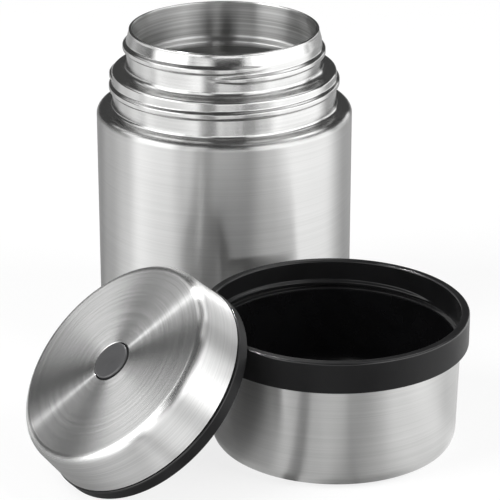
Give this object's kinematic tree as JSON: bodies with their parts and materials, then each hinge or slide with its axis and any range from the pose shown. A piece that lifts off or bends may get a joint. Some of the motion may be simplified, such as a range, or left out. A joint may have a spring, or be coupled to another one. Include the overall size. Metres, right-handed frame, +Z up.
{
  "type": "insulated food jar",
  "caption": "Double-wall steel food jar with a two-step threaded neck, a screw lid with a sprung vent button, and a screw-on bowl with a lined inside.",
  "frame": {"origin": "centre of the jar's foot, on the table", "axes": "+Z up the jar's axis; -Y towards the bowl and the lid, which stand in front of the jar; +X to the bowl's side"},
  "size_m": [0.1665, 0.2329, 0.132],
  "materials": {
    "brushed_steel": "brushed round the axis",
    "vessel_steel": "drawn, half bright",
    "foil": "bright foil",
    "solder": "dull solder",
    "getter": "pressed powder",
    "black_plastic": "moulded, matt",
    "plug_plastic": "moulded, satin",
    "button_plastic": "moulded, matt",
    "liner_plastic": "moulded, glossy",
    "foam": "closed-cell foam",
    "silicone": "soft, translucent grey",
    "spring_steel": "drawn wire and strip"
  },
  "bodies": {
    "jar": {"outer_shell": "brushed_steel", "inner_vessel": "vessel_steel", "reflector_foil": "foil", "vacuum_base": "vessel_steel", "seal_bead": "solder", "getter": "getter", "getter_clip": "vessel_steel", "base_cap": "brushed_steel"},
    "lid": {"lid_cap": "brushed_steel", "lid_body": "black_plastic", "lid_plug": "plug_plastic", "foam_core": "foam", "seal_ring": "silicone", "button_sleeve": "black_plastic", "vent_spring": "spring_steel"},
    "button": {"vent_button": "button_plastic", "valve_stem": "black_plastic", "valve_washer": "silicone", "stem_clip": "spring_steel"},
    "bowl": {"bowl_shell": "brushed_steel", "bowl_collar": "black_plastic", "bowl_liner": "liner_plastic", "collar_seal": "silicone"}
  },
  "joints": [
    {"name": "lid_lift", "type": "slide", "parent": "jar", "child": "lid", "axis": [-0.5903, -0.3589, 0.723], "range_m": [0, 0.12]},
    {"name": "button_press", "type": "slide", "parent": "lid", "child": "button", "axis": [0.5903, 0.3589, -0.723], "range_m": [0, 0.002], "stiffness_N_per_m": 400, "springref_m": -0.002, "deforming": ["vent_spring"]},
    {"name": "bowl_lift", "type": "slide", "parent": "jar", "child": "bowl", "axis": [0.9, 0, 0.4359], "range_m": [0, 0.12]}
  ]
}
